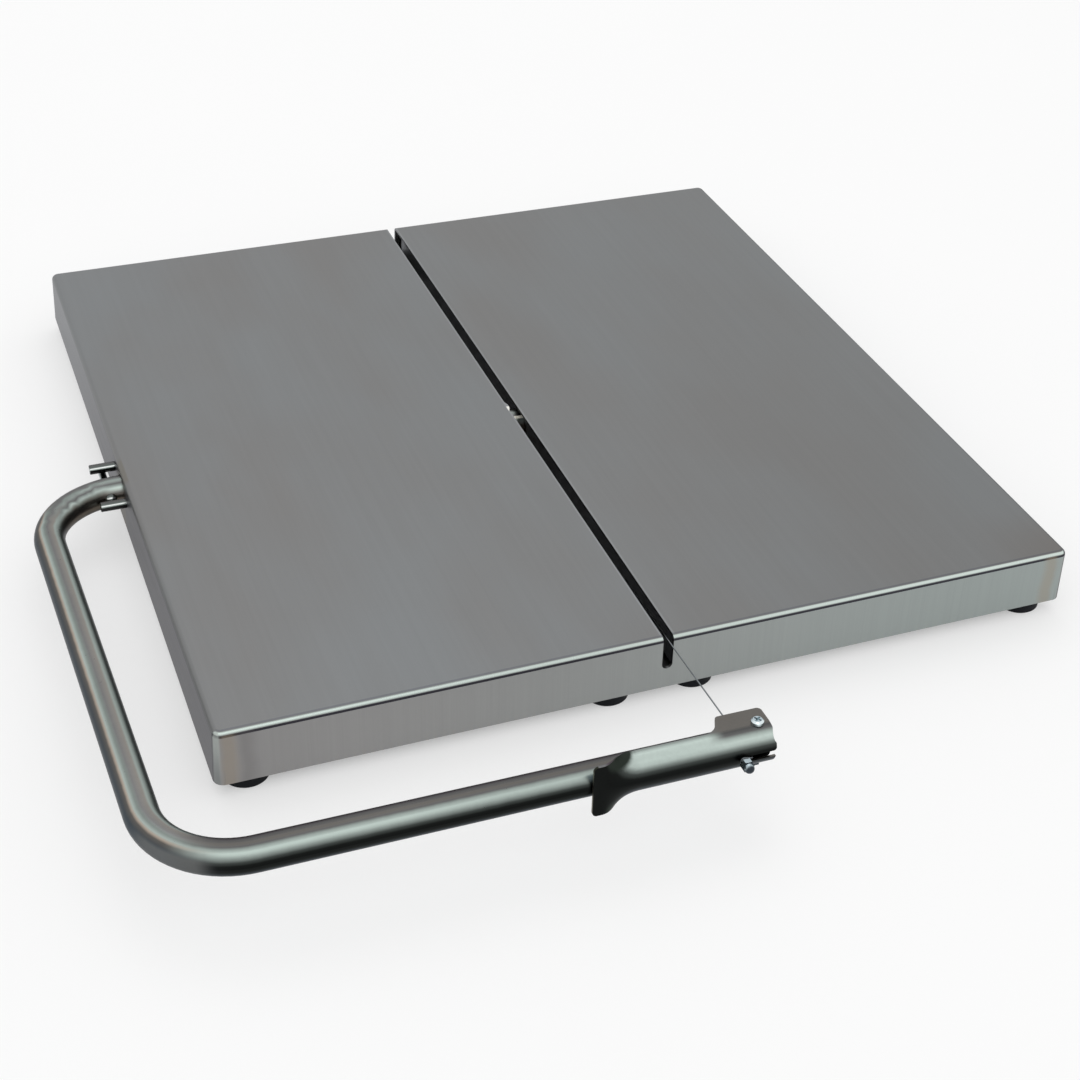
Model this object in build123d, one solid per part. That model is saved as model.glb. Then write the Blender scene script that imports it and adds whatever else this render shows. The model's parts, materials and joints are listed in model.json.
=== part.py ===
"""Table cheese cutter: a slotted steel table on rubber feet and a hinged wire bow.

Millimetres. While building, X runs along the front edge from the table's left side, Y runs from
the front edge to the back, and Z is height above the floor. At the end everything is shifted so
that the origin is the middle of the bounding box's footprint, on the floor.

The bow is built flat in its own frame (along X, forward, up) with the hinge axis as origin, and
is then tilted and put in place. The tension lever has a frame of its own on the bow's front bar.
"""

import os
from math import asin, atan2, cos, degrees, hypot, pi, radians, sin, tan

from build123d import *

os.makedirs("parts", exist_ok=True)

# Driving dimensions: table
TABLE_W = 455.0
TABLE_D = 461.0
TABLE_H = 30.4
SHEET_T = 1.5
BEND_R = 3.0
CORNER_R = 4.0
FLANGE_LEAN = 2.4
LIP_W = 26.0
SLOT_X = 225.0
SLOT_W = 5.6
SLOT_DROP = 19.0
LUG_R = 9.0
LUG_OUT = 1.1

# Driving dimensions: feet
FOOT_TOP_R = 11.9
FOOT_BOTTOM_R = 11.4
FOOT_H = 8.5
FOOT_INSET_X = 16.0
FOOT_INSET_Y = 13.0
FOOT_LEFT_OF_SLOT = 26.0
FOOT_RIGHT_OF_SLOT = 20.0
FOOT_HEAD_ROOM = 2.6

# Driving dimensions: rails and bearings under the table
RAIL_GAP = 3.0
RAIL_H = 21.0
RAIL_LEG = 15.0
RAIL_END_GAP = 6.0
BLOCK_L = 12.0
BLOCK_W = 46.0
NUT_ABOVE_LIP = 0.4
BLOCK_STUD_Y = 16.5
BLOCK_FROM_WALL = 9.0
BLOCK_FROM_RAIL = 20.0
RUN_CLEAR = 0.08

# Driving dimensions: bow
TUBE_R = 8.0
TUBE_WALL = 1.5
HINGE_Y = 224.2
HINGE_DROP = 12.2
BOW_TILT = 2.5
BOW_REACH = 303.3
BOW_SIDE = 45.8
LEG_TOE = 1.3
BAR_DRIFT = 0.75
REAR_BEND_R = 42.5
FRONT_BEND_R = 41.0
BAR_END_X = 235.2
WALL_HOLE_CLEAR = 0.7

# Driving dimensions: stops
STOP_R = 2.7
STOP_OUT = 14.3
PIN_R = 2.0
PIN_X = -7.5
PIN_TAIL = 20.5
PIN_HEAD_R = 3.4
PIN_HEAD_H = 2.6
STOP_REAR_REACH = 18.2
STOP_FRONT_REACH = 13.85
STOP_FRONT_RISE = 0.5
STOP_TOUCH = 0.03

# Driving dimensions: wire and lever
WIRE_R = 0.35
SLEEVE_R = 9.0
SLEEVE_T = 1.2
LEVER_PIVOT_X = 231.4
SLEEVE_END = 5.8
SLEEVE_NOTCH_R = 3.9
SLEEVE_NOTCH_DEPTH = 0.95
SLEEVE_NOTCH_UP = 6.8
SLEEVE_TIP_R = 1.5
SLEEVE_START = -60.0
CURL_LENGTH = 19.0
TAB_LENGTH = 4.3
TAB_HALF_H = 13.9
EAR_ROOT_X = -21.0
EAR_LEFT = -16.6
EAR_RIGHT = 5.9
EAR_BACK = 10.0
EAR_ROOT_R = 7.5
EAR_CORNER_R = 2.2
SLIT_LEFT = -8.4
SLIT_UP = 0.8
SLIT_DOWN = 2.8
SCREW_R = 1.5
SCREW_CLEAR = 0.05
STUD_X = -10.9
STUD_UP = -0.4
STUD_OUT = 17.0

# Driving dimensions: fasteners
M4_R = 2.0
M4_NUT_AF = 7.0
M4_NUT_H = 3.2
WASHER_T = 0.8
STUD_TAIL = 1.0
OVERCUT = 10.0

# Worked out from the above
TOP_Z = FOOT_H + TABLE_H
FLOOR_OF_TABLE = TOP_Z - TABLE_H
UNDERSIDE = TOP_Z - SHEET_T
LEAN = tan(radians(FLANGE_LEAN))
HINGE_Z = TOP_Z - HINGE_DROP
RAIL_FACE = SLOT_W / 2 + RAIL_GAP
BLOCK_DROP = TABLE_H - 2 * SHEET_T - WASHER_T - M4_NUT_H - STUD_TAIL - NUT_ABOVE_LIP
SLEEVE_OUT = SLEEVE_R + SLEEVE_T
SLEEVE_MID = SLEEVE_R + SLEEVE_T / 2


def bolt(radius, length, head_r, head_h):
    """Pan-head screw along +Z: the head sits on z = 0 and the shank goes down."""
    shank = Cylinder(radius, length, align=(Align.CENTER, Align.CENTER, Align.MAX))
    head = Cylinder(head_r, head_h, align=(Align.CENTER, Align.CENTER, Align.MIN))
    rim = head.edges().group_by(Axis.Z)[-1]
    head = chamfer(rim, head_h * 0.4)
    return shank + head


def cross_recess(size, depth):
    """Two crossed bars that are cut out of a screw head's top, below z = 0."""
    down = (Align.CENTER, Align.CENTER, Align.MAX)
    bar = Box(size, size * 0.28, depth, align=down)
    return bar + Rot(0, 0, 90) * bar


def hex_nut(across_flats, height, bore_r):
    """Nut on z = 0, axis +Z, with its outer corners turned off."""
    hexagon = RegularPolygon(across_flats / 2, 6, major_radius=False)
    body = extrude(hexagon, height)
    cone_r = across_flats / 2 * 1.05
    turned = Cone(cone_r + height, cone_r, height, align=(Align.CENTER, Align.CENTER, Align.MIN))
    bore = Cylinder(bore_r, height, align=(Align.CENTER, Align.CENTER, Align.MIN))
    return (body & turned) - bore


def washer(outer_r, inner_r, thickness):
    """Flat ring on z = 0."""
    return extrude(Circle(outer_r) - Circle(inner_r), thickness)


def x_rod(radius, x0, x1, y, z):
    """Round bar parallel to X."""
    rod = Cylinder(radius, x1 - x0, rotation=(0, 90, 0))
    return Pos((x0 + x1) / 2, y, z) * rod


# Table
def leaning_block(inset, top_z, bottom_z):
    """Round-cornered block whose four walls lean outwards towards the floor."""
    width = TABLE_W - 2 * inset
    depth = TABLE_D - 2 * inset
    corner = max(CORNER_R - inset, 1.0)
    outline = Pos(TABLE_W / 2, TABLE_D / 2, top_z) * RectangleRounded(width, depth, corner)
    block = extrude(outline, amount=top_z - bottom_z, dir=(0, 0, -1), taper=-FLANGE_LEAN)
    top_edges = block.faces().sort_by(Axis.Z)[-1].edges()
    return fillet(top_edges, BEND_R - inset)


def slot_cutter():
    """The cutting slot: over the whole top and down both end flanges, with a round bottom."""
    bottom = TOP_Z - SLOT_DROP
    drop = SLOT_DROP - SLOT_W / 2 + 1
    profile = Pos(0, bottom + SLOT_W / 2 + drop / 2) * Rectangle(SLOT_W, drop)
    profile += Pos(0, bottom + SLOT_W / 2) * Circle(SLOT_W / 2)
    plane = Plane(origin=(SLOT_X, -OVERCUT, 0), x_dir=(1, 0, 0), z_dir=(0, 1, 0))
    return extrude(plane * Rot(0, 0, 180) * profile, TABLE_D + 2 * OVERCUT)


def slot_lug():
    """Small rounded lug that reaches into the slot's left side above the hinge tube."""
    edge_x = SLOT_X - SLOT_W / 2
    disc = Pos(edge_x + LUG_OUT - LUG_R, HINGE_Y, UNDERSIDE) * Cylinder(
        LUG_R, SHEET_T, align=(Align.CENTER, Align.CENTER, Align.MIN)
    )
    keep = Pos(edge_x - 1, HINGE_Y, UNDERSIDE) * Box(
        1 + LUG_OUT, 2 * LUG_R, SHEET_T, align=(Align.MIN, Align.CENTER, Align.MIN)
    )
    return disc & keep


def foot_places():
    """Centres of the eight feet: four corners, and both sides of the slot at front and back."""
    columns = (
        FOOT_INSET_X,
        SLOT_X - FOOT_LEFT_OF_SLOT,
        SLOT_X + FOOT_RIGHT_OF_SLOT,
        TABLE_W - FOOT_INSET_X,
    )
    rows = (FOOT_INSET_Y, TABLE_D - FOOT_INSET_Y)
    return [(x, y) for y in rows for x in columns]


def table_shell():
    """Folded tray: top, four leaning flanges and the inward lips that carry the feet."""
    shell = leaning_block(0, TOP_Z, FLOOR_OF_TABLE)
    shell -= leaning_block(SHEET_T, UNDERSIDE, FLOOR_OF_TABLE + SHEET_T)
    mouth = Pos(TABLE_W / 2, TABLE_D / 2, FLOOR_OF_TABLE) * RectangleRounded(
        TABLE_W - 2 * LIP_W, TABLE_D - 2 * LIP_W, 4
    )
    shell -= extrude(mouth, 2 * SHEET_T)
    shell -= slot_cutter()
    shell += slot_lug()
    shell -= x_rod(TUBE_R + WALL_HOLE_CLEAR, -OVERCUT, OVERCUT, HINGE_Y, HINGE_Z)
    for y, z in stop_places():
        shell -= x_rod(STOP_R, -OVERCUT, OVERCUT, y, z)
    for x, y in foot_places():
        shell -= Pos(x, y, FLOOR_OF_TABLE) * Cylinder(M4_R + 0.2, 4 * SHEET_T)
    return shell


def slot_rail(side):
    """Angle welded under the top beside the slot; side is -1 on the left and 1 on the right."""
    length = TABLE_D - 2 * RAIL_END_GAP
    web = Box(SHEET_T, length, RAIL_H, align=(Align.MIN, Align.MIN, Align.MAX))
    leg = Box(RAIL_LEG, length, SHEET_T, align=(Align.MIN, Align.MIN, Align.MAX))
    angle = web + leg
    outer_edge = angle.edges().filter_by(Axis.Y).filter_by_position(Axis.X, -0.01, 0.01)
    angle = fillet(outer_edge.sort_by(Axis.Z)[-1], 1.2)
    if side < 0:
        angle = mirror(angle, Plane.YZ)
    angle = Pos(SLOT_X + side * RAIL_FACE, RAIL_END_GAP, UNDERSIDE) * angle
    reach = side * (RAIL_FACE + SHEET_T / 2)
    hole = x_rod(TUBE_R + 1.5, SLOT_X + reach - 3, SLOT_X + reach + 3, HINGE_Y, HINGE_Z)
    return angle - hole


def foot():
    """Tapered rubber foot with a counterbore for its screw, standing on z = 0."""
    body = Cone(FOOT_BOTTOM_R, FOOT_TOP_R, FOOT_H, align=(Align.CENTER, Align.CENTER, Align.MIN))
    body = chamfer(body.edges().group_by(Axis.Z)[0], 1.0)
    low = (Align.CENTER, Align.CENTER, Align.MIN)
    body -= Cylinder(4.4, FOOT_HEAD_ROOM + 1.6, align=low)
    return body - Cylinder(M4_R + 0.15, FOOT_H, align=low)


def foot_screws():
    """Eight screws, head down in the feet, through the lips."""
    length = FOOT_H - FOOT_HEAD_ROOM - 1.6 + SHEET_T + WASHER_T + M4_NUT_H + 0.8
    one = Pos(0, 0, FOOT_HEAD_ROOM + 1.6) * Rot(180, 0, 0) * bolt(M4_R, length, 3.8, 2.4)
    return [Pos(x, y, 0) * one for x, y in foot_places()]


def foot_washers():
    """Eight washers on the lips."""
    ring = washer(4.5, M4_R + 0.15, WASHER_T)
    return [Pos(x, y, FLOOR_OF_TABLE + SHEET_T) * ring for x, y in foot_places()]


def foot_nuts():
    """Eight nuts on the washers."""
    nut = hex_nut(M4_NUT_AF, M4_NUT_H, M4_R)
    height = FLOOR_OF_TABLE + SHEET_T + WASHER_T
    return [Pos(x, y, height) * nut for x, y in foot_places()]


# Hinge bearings
def block_starts():
    """Left face of each bearing block along the hinge axis."""
    left = BLOCK_FROM_WALL
    middle = SLOT_X - RAIL_FACE - BLOCK_FROM_RAIL - BLOCK_L
    right = SLOT_X + RAIL_FACE + BLOCK_FROM_RAIL
    return left, middle, right


def bearing_block(start):
    """Plastic plummer block that hangs from two studs under the top."""
    block = Pos(start, HINGE_Y, UNDERSIDE) * Box(
        BLOCK_L, BLOCK_W, BLOCK_DROP, align=(Align.MIN, Align.CENTER, Align.MAX)
    )
    block = fillet(block.edges().filter_by(Axis.X).group_by(Axis.Z)[0], 6)
    block -= x_rod(TUBE_R + RUN_CLEAR, start - 1, start + BLOCK_L + 1, HINGE_Y, HINGE_Z)
    for side in (-1, 1):
        hole = Cylinder(M4_R + 0.15, 2 * BLOCK_DROP + 2)
        block -= Pos(start + BLOCK_L / 2, HINGE_Y + side * BLOCK_STUD_Y, UNDERSIDE) * hole
    return block


def stud_places():
    """Centres of the six weld studs that hold the bearing blocks."""
    return [
        (start + BLOCK_L / 2, HINGE_Y + side * BLOCK_STUD_Y)
        for start in block_starts()
        for side in (-1, 1)
    ]


def bearing_studs():
    """Studs welded to the underside of the top."""
    length = BLOCK_DROP + WASHER_T + M4_NUT_H + STUD_TAIL
    stud = Cylinder(M4_R, length, align=(Align.CENTER, Align.CENTER, Align.MAX))
    return [Pos(x, y, UNDERSIDE) * stud for x, y in stud_places()]


def bearing_washers():
    """Washers below the blocks."""
    ring = washer(4.5, M4_R + 0.15, WASHER_T)
    return [Pos(x, y, UNDERSIDE - BLOCK_DROP - WASHER_T) * ring for x, y in stud_places()]


def bearing_nuts():
    """Nuts below the washers."""
    nut = hex_nut(M4_NUT_AF, M4_NUT_H, M4_R)
    height = UNDERSIDE - BLOCK_DROP - WASHER_T - M4_NUT_H
    return [Pos(x, y, height) * nut for x, y in stud_places()]


# Stops on the left flange
def stop_places():
    """Centres (y, z) of the rear and the front stop rod.

    The rear rod touches the tail of the bow's cross pin from above when the bow is down. The
    front rod stands in front of the hinge tube and meets the tail from below when it is up.
    """
    tilt = radians(BOW_TILT)
    gap = PIN_R + STOP_R + STOP_TOUCH
    rear_y = HINGE_Y + STOP_REAR_REACH * cos(tilt) + gap * sin(tilt)
    rear_z = HINGE_Z - STOP_REAR_REACH * sin(tilt) + gap * cos(tilt)
    return (rear_y, rear_z), (HINGE_Y - STOP_FRONT_REACH, HINGE_Z + STOP_FRONT_RISE)


def open_angle():
    """How far the bow swings up before the pin's tail meets the front rod."""
    distance = hypot(STOP_FRONT_REACH, STOP_FRONT_RISE)
    rod = 180 - degrees(atan2(STOP_FRONT_RISE, STOP_FRONT_REACH))
    contact = degrees(asin((PIN_R + STOP_R) / distance))
    return 360 - rod - contact - BOW_TILT


def wall_inside(z):
    """X of the left flange's inner face at a height."""
    return SHEET_T - (UNDERSIDE - z) * LEAN


def stop_rod(place):
    """Round rod through the left flange, its outer end chamfered."""
    y, z = place
    rod = x_rod(STOP_R, -STOP_OUT, wall_inside(z) + 5.0, y, z)
    return chamfer(rod.edges().group_by(Axis.X)[0], 0.4)


def stop_nuts():
    """Thin nuts behind the left flange that hold the rods."""
    across_flats = 8.0
    nut = hex_nut(across_flats, 3.0, STOP_R)
    nuts = []
    for y, z in stop_places():
        start = wall_inside(z + across_flats / 2 / cos(pi / 6)) + 0.02
        nuts.append(Pos(start, y, z) * Rot(0, 90, 0) * nut)
    return nuts


# Bow
def bow_plane(x=0.0, forward=0.0, up=0.0):
    """Frame of the bow at rest: local X along the hinge axis, Y backwards, Z up."""
    tilt = radians(BOW_TILT)
    back = Vector(0, cos(tilt), -sin(tilt))
    rise = Vector(0, sin(tilt), cos(tilt))
    origin = Vector(x, HINGE_Y, HINGE_Z) - back * forward + rise * up
    return Plane(origin=origin, x_dir=(1, 0, 0), z_dir=rise)


def bar_forward(x):
    """Distance of the front bar's axis in front of the hinge axis."""
    return BOW_REACH + x * tan(radians(BAR_DRIFT))


def bow_corners():
    """Sharp corners of the bow's centre line, as (x, forward)."""
    toe = tan(radians(LEG_TOE))
    drift = tan(radians(BAR_DRIFT))
    reach = (BOW_REACH - drift * BOW_SIDE) / (1 - drift * toe)
    return (-BOW_SIDE, 0.0), (-BOW_SIDE + toe * reach, reach)


def hinge_tube_end():
    """X where the hinge end of the tube stops, past the right bearing and its thrust pin."""
    return block_starts()[2] + BLOCK_L + 10.0


def bow_path():
    """Centre line of the tube, from the hinge end round two bends to the lever end."""
    (x1, f1), (x2, f2) = bow_corners()
    start = (hinge_tube_end(), 0)
    end = (BAR_END_X, -bar_forward(BAR_END_X))
    line = Polyline(start, (x1, -f1), (x2, -f2), end)
    corners = line.vertices()
    rear = corners.sort_by_distance((x1, -f1, 0))[0]
    front = corners.sort_by_distance((x2, -f2, 0))[0]
    path = Wire(line.edges())
    path = path.fillet_2d(REAR_BEND_R, [rear])
    front = path.vertices().sort_by_distance((x2, -f2, 0))[0]
    return path.fillet_2d(FRONT_BEND_R, [front])


def bar_hole(x, radius):
    """Drill along the bow's plane through the front bar, for the wire."""
    middle = bar_forward(x)
    drill = Cylinder(radius, 4 * TUBE_R, rotation=(90, 0, 0))
    return Pos(x, -middle, 0) * drill


def along_bow(section):
    """Sweep a section along the whole centre line of the bow, in the bow's own frame."""
    start = Plane(origin=(hinge_tube_end(), 0, 0), x_dir=(0, 1, 0), z_dir=(-1, 0, 0))
    return sweep(start * section, path=bow_path())


def bow_tube():
    """Bent round tube: hinge part, side leg and front bar, drilled for pins, wire and lever."""
    tube = along_bow(Circle(TUBE_R) - Circle(TUBE_R - TUBE_WALL))
    drill = Cylinder(PIN_R, 4 * TUBE_R, rotation=(90, 0, 0))
    tube -= Pos(PIN_X, 0, 0) * drill
    for x in thrust_pin_places():
        tube -= Pos(x, 0, 0) * Cylinder(SCREW_R, 4 * TUBE_R)
    tube -= Pos(SLOT_X, 0, 0) * Cylinder(WIRE_R + 0.15, 4 * TUBE_R, rotation=(90, 0, 0))
    tube -= bar_hole(SLOT_X, WIRE_R + 0.15)
    pivot = Pos(LEVER_PIVOT_X, -bar_forward(LEVER_PIVOT_X), 0)
    tube -= pivot * Cylinder(SCREW_R + SCREW_CLEAR, 4 * TUBE_R)
    return bow_plane() * tube


def cross_pin():
    """Domed pin through the hinge part: the head faces forward, the long tail backward."""
    tail = Cylinder(PIN_R, PIN_TAIL, align=(Align.CENTER, Align.CENTER, Align.MIN))
    tail = chamfer(tail.edges().group_by(Axis.Z)[-1], 0.5)
    front = Cylinder(PIN_R, TUBE_R + 1, align=(Align.CENTER, Align.CENTER, Align.MAX))
    dome_r = (PIN_HEAD_R**2 + PIN_HEAD_H**2) / (2 * PIN_HEAD_H)
    dome = Pos(0, 0, -TUBE_R - PIN_HEAD_H + dome_r) * Sphere(dome_r)
    top = Align.CENTER, Align.CENTER, Align.MAX
    blank = Pos(0, 0, -TUBE_R + 0.5) * Cylinder(PIN_HEAD_R, 2 * PIN_HEAD_H, align=top)
    head = dome & blank
    place = Pos(PIN_X, 0, 0) * Rot(-90, 0, 0)
    seated_head = place * head - along_bow(Circle(TUBE_R))
    return bow_plane() * (place * (tail + front) + seated_head)


def thrust_pin_places():
    """X of the two spring pins that keep the tube from sliding through the right bearing."""
    start = block_starts()[2]
    gap = 1.2 + SCREW_R
    return start - gap, start + BLOCK_L + gap


def thrust_pins():
    """Spring pins across the hinge tube."""
    pin = Cylinder(SCREW_R, 2 * TUBE_R + 3.4)
    pin = chamfer(pin.edges(), 0.3)
    return [bow_plane() * Pos(x, 0, 0) * pin for x in thrust_pin_places()]


def thrust_washers():
    """Plastic rings between the spring pins and the right bearing."""
    ring = Rot(0, 90, 0) * washer(TUBE_R + 2.2, TUBE_R + RUN_CLEAR, 1.0)
    start = block_starts()[2]
    places = (start - 1.1, start + BLOCK_L + 0.1)
    return [bow_plane() * Pos(x, 0, 0) * ring for x in places]


def tube_plug(x, forward, turn):
    """Push-in cap for an open tube end; local +Z of the cap points out of the tube."""
    stem = Cylinder(TUBE_R - TUBE_WALL - 0.02, 5, align=(Align.CENTER, Align.CENTER, Align.MAX))
    lid = Cylinder(TUBE_R - 0.6, 1.0, align=(Align.CENTER, Align.CENTER, Align.MIN))
    lid = chamfer(lid.edges().group_by(Axis.Z)[-1], 0.4)
    return bow_plane() * Pos(x, -forward, 0) * Rot(0, 0, turn) * Rot(0, 90, 0) * (stem + lid)


def hinge_plug():
    """Cap in the hinge end of the tube."""
    return tube_plug(hinge_tube_end(), 0, 0)


def cutting_wire():
    """Taut wire from the hinge tube through the slot to the front bar."""
    front = bar_forward(SLOT_X) + SLEEVE_R
    back = TUBE_R + 1.0
    wire = Cylinder(WIRE_R, front + back, rotation=(90, 0, 0))
    return bow_plane() * Pos(SLOT_X, (back - front) / 2, 0) * wire


def wire_ferrule():
    """Crimped sleeve that anchors the wire behind the hinge tube."""
    body = Cylinder(1.8, 5.0, align=(Align.CENTER, Align.CENTER, Align.MIN))
    body = chamfer(body.edges(), 0.4)
    body -= Cylinder(WIRE_R, 1.02, align=(Align.CENTER, Align.CENTER, Align.MIN))
    return bow_plane() * Pos(SLOT_X, TUBE_R, 0) * Rot(-90, 0, 0) * body


# Tension lever, in its own frame: X along the bar, Y backwards, Z up, origin on the pivot
def lever_plane():
    """Frame of the lever at rest on the front bar."""
    frame = bow_plane(LEVER_PIVOT_X, bar_forward(LEVER_PIVOT_X))
    drift = radians(BAR_DRIFT)
    along = frame.x_dir * cos(drift) - frame.y_dir * sin(drift)
    return Plane(origin=frame.origin, x_dir=along, z_dir=frame.z_dir)


def curl_section(x, curl, half_width):
    """Strip cross-section at x: curl 0 is flat, curl 1 is the half round of the sleeve."""
    mid_r = SLEEVE_MID / max(curl, 0.004)
    half_angle = half_width / mid_r
    centre = SLEEVE_MID - mid_r
    plane = Plane(origin=(x, 0, 0), x_dir=(0, -1, 0), z_dir=(1, 0, 0))

    def at(radius, angle):
        return (centre + radius * cos(angle), radius * sin(angle))

    outer = mid_r + SLEEVE_T / 2
    inner = mid_r - SLEEVE_T / 2
    edges = [
        ThreePointArc(at(outer, -half_angle), at(outer, 0), at(outer, half_angle)),
        Line(at(outer, half_angle), at(inner, half_angle)),
        ThreePointArc(at(inner, half_angle), at(inner, 0), at(inner, -half_angle)),
        Line(at(inner, -half_angle), at(outer, -half_angle)),
    ]
    return plane * make_face(edges)


def lever_strip():
    """Pressed strip: flat thumb tab, curl and half-round sleeve."""
    full_half = SLEEVE_MID * pi / 2
    curl_start = SLEEVE_START - CURL_LENGTH
    sections = []
    steps = 4
    for step in range(steps + 1):
        share = step / steps
        curl = 3 * share**2 - 2 * share**3
        half = TAB_HALF_H + (full_half - TAB_HALF_H) * share
        sections.append(curl_section(curl_start + CURL_LENGTH * share, curl, half))
    curl_part = loft(sections)
    sleeve = extrude(sections[-1], SLEEVE_END - SLEEVE_START, dir=(1, 0, 0))
    tab = extrude(sections[0], TAB_LENGTH, dir=(-1, 0, 0))
    tip = tab.edges().filter_by(Axis.Y, tolerance=3).group_by(Axis.X)[0]
    tab = fillet(tip, 2.4)
    return tab + curl_part + sleeve


def lever_ear(side):
    """Flat ear on the sleeve's top (side 1) or bottom (side -1), reaching back over the bar."""
    inside_sleeve = -0.3
    root_start = EAR_ROOT_X - EAR_ROOT_R
    outline = Polyline(
        (root_start, inside_sleeve),
        (root_start, 0),
        (EAR_ROOT_X, 0),
        (EAR_LEFT, EAR_BACK),
        (EAR_RIGHT, EAR_BACK),
        (EAR_RIGHT, inside_sleeve),
        close=True,
    )
    ear = make_face(outline)
    root = ear.vertices().sort_by_distance((EAR_ROOT_X, 0, 0))[0]
    ear = fillet(root, EAR_ROOT_R)
    ear = fillet(ear.vertices().group_by(Axis.Y)[-1], EAR_CORNER_R)
    sheet = extrude(ear, SLEEVE_T)
    return Pos(0, 0, SLEEVE_R if side > 0 else -SLEEVE_OUT) * sheet


def tension_lever():
    """Half sleeve with thumb tab and two ears, slit for the wire at its open end."""
    lever = lever_strip() + lever_ear(1) + lever_ear(-1)
    slit_h = SLIT_UP + SLIT_DOWN
    slit_z = (SLIT_UP - SLIT_DOWN) / 2
    slit = Plane.XZ * Pos(SLIT_LEFT + slit_h / 2, slit_z) * Circle(slit_h / 2)
    slit += Plane.XZ * Pos(SLIT_LEFT + slit_h / 2 + 10, slit_z) * Rectangle(20, slit_h)
    tip_x = SLEEVE_END - SLEEVE_TIP_R
    tip_z = SLIT_UP + SLEEVE_TIP_R
    tip = Pos(SLEEVE_END, SLIT_UP) * Rectangle(2 * SLEEVE_TIP_R, 2 * SLEEVE_TIP_R)
    tip &= Pos(tip_x, tip_z) * Rectangle(2 * SLEEVE_TIP_R, 2 * SLEEVE_TIP_R)
    slit += Plane.XZ * (tip - Pos(tip_x, tip_z) * Circle(SLEEVE_TIP_R))
    lever -= extrude(slit, 2 * SLEEVE_OUT)
    notch_x = SLEEVE_END - SLEEVE_NOTCH_DEPTH + SLEEVE_NOTCH_R
    notch = Cylinder(SLEEVE_NOTCH_R, 2 * SLEEVE_OUT, rotation=(90, 0, 0))
    lever -= Pos(notch_x, -SLEEVE_OUT, SLEEVE_NOTCH_UP) * notch
    lever -= Cylinder(SCREW_R + SCREW_CLEAR, 4 * SLEEVE_OUT)
    lever -= Pos(STUD_X, -SLEEVE_MID, STUD_UP) * Cylinder(SCREW_R, 6, rotation=(90, 0, 0))
    return lever_plane() * lever


def lever_pivot_screw():
    """Cross-head screw down through the ears and the bar."""
    length = 2 * SLEEVE_OUT + 3.4
    screw = bolt(SCREW_R, length, 3.0, 2.2)
    screw -= Pos(0, 0, 2.2) * Rot(0, 0, 35) * cross_recess(3.6, 1.3)
    return lever_plane() * Pos(0, 0, SLEEVE_OUT) * screw


def lever_pivot_washers():
    """Two thin rings that fill the space between the ears and the bar, hollowed by the sleeve."""
    thickness = SLEEVE_R - TUBE_R - RUN_CLEAR
    ring = washer(3.4, SCREW_R + SCREW_CLEAR, thickness)
    sleeve = lever_strip()
    places = (TUBE_R + RUN_CLEAR, -SLEEVE_R)
    return [lever_plane() * (Pos(0, 0, z) * ring - sleeve) for z in places]


def lever_pivot_nut():
    """Nut under the lower ear."""
    nut = hex_nut(5.5, 2.4, SCREW_R)
    return lever_plane() * Pos(0, 0, -SLEEVE_OUT - 2.4) * nut


def wire_stud():
    """Stud in the sleeve wall that the wire is looped round."""
    stud = Cylinder(SCREW_R, STUD_OUT - SLEEVE_R, align=(Align.CENTER, Align.CENTER, Align.MIN))
    inside = Pos(0, 0, 0.1) * stud
    return lever_plane() * Pos(STUD_X, -SLEEVE_R, STUD_UP) * Rot(90, 0, 0) * inside


def stud_cap_nut():
    """Domed cap nut on the stud's outer end."""
    hexagon = hex_nut(5.5, 2.6, SCREW_R)
    collar = Pos(0, 0, 2.6) * Cylinder(2.4, 0.9, align=(Align.CENTER, Align.CENTER, Align.MIN))
    dome = Pos(0, 0, 3.5) * Sphere(2.4)
    upper = Pos(0, 0, 3.5) * Box(6, 6, 6, align=(Align.CENTER, Align.CENTER, Align.MIN))
    bore = Cylinder(SCREW_R, 4.4, align=(Align.CENTER, Align.CENTER, Align.MIN))
    nut = (hexagon + collar + (dome & upper)) - bore
    start = STUD_OUT + 0.1 - 4.0
    return lever_plane() * Pos(STUD_X, -start, STUD_UP) * Rot(90, 0, 0) * nut


def wire_loop():
    """End of the wire on the lever's side: out of the slit and round the stud."""
    turn_r = SCREW_R + WIRE_R + 0.03
    turns = 1.25
    first = -SLEEVE_OUT - 1.0
    pitch = 2 * WIRE_R + 0.12
    wire_x = SLOT_X - LEVER_PIVOT_X
    points = [(wire_x, -SLEEVE_R - 0.25, 0), (wire_x, -SLEEVE_OUT + 0.1, 0)]
    steps = int(8 * turns)
    for step in range(steps + 1):
        angle = radians(60) + 2 * pi * turns * step / steps
        x = STUD_X + turn_r * cos(angle)
        z = STUD_UP + turn_r * sin(angle)
        points.append((x, first - pitch * turns * step / steps, z))
    path = Spline(*points)
    start = Plane(origin=path @ 0, z_dir=path % 0)
    loop = sweep(start * Circle(WIRE_R), path=path)
    return lever_plane() * loop


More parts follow.
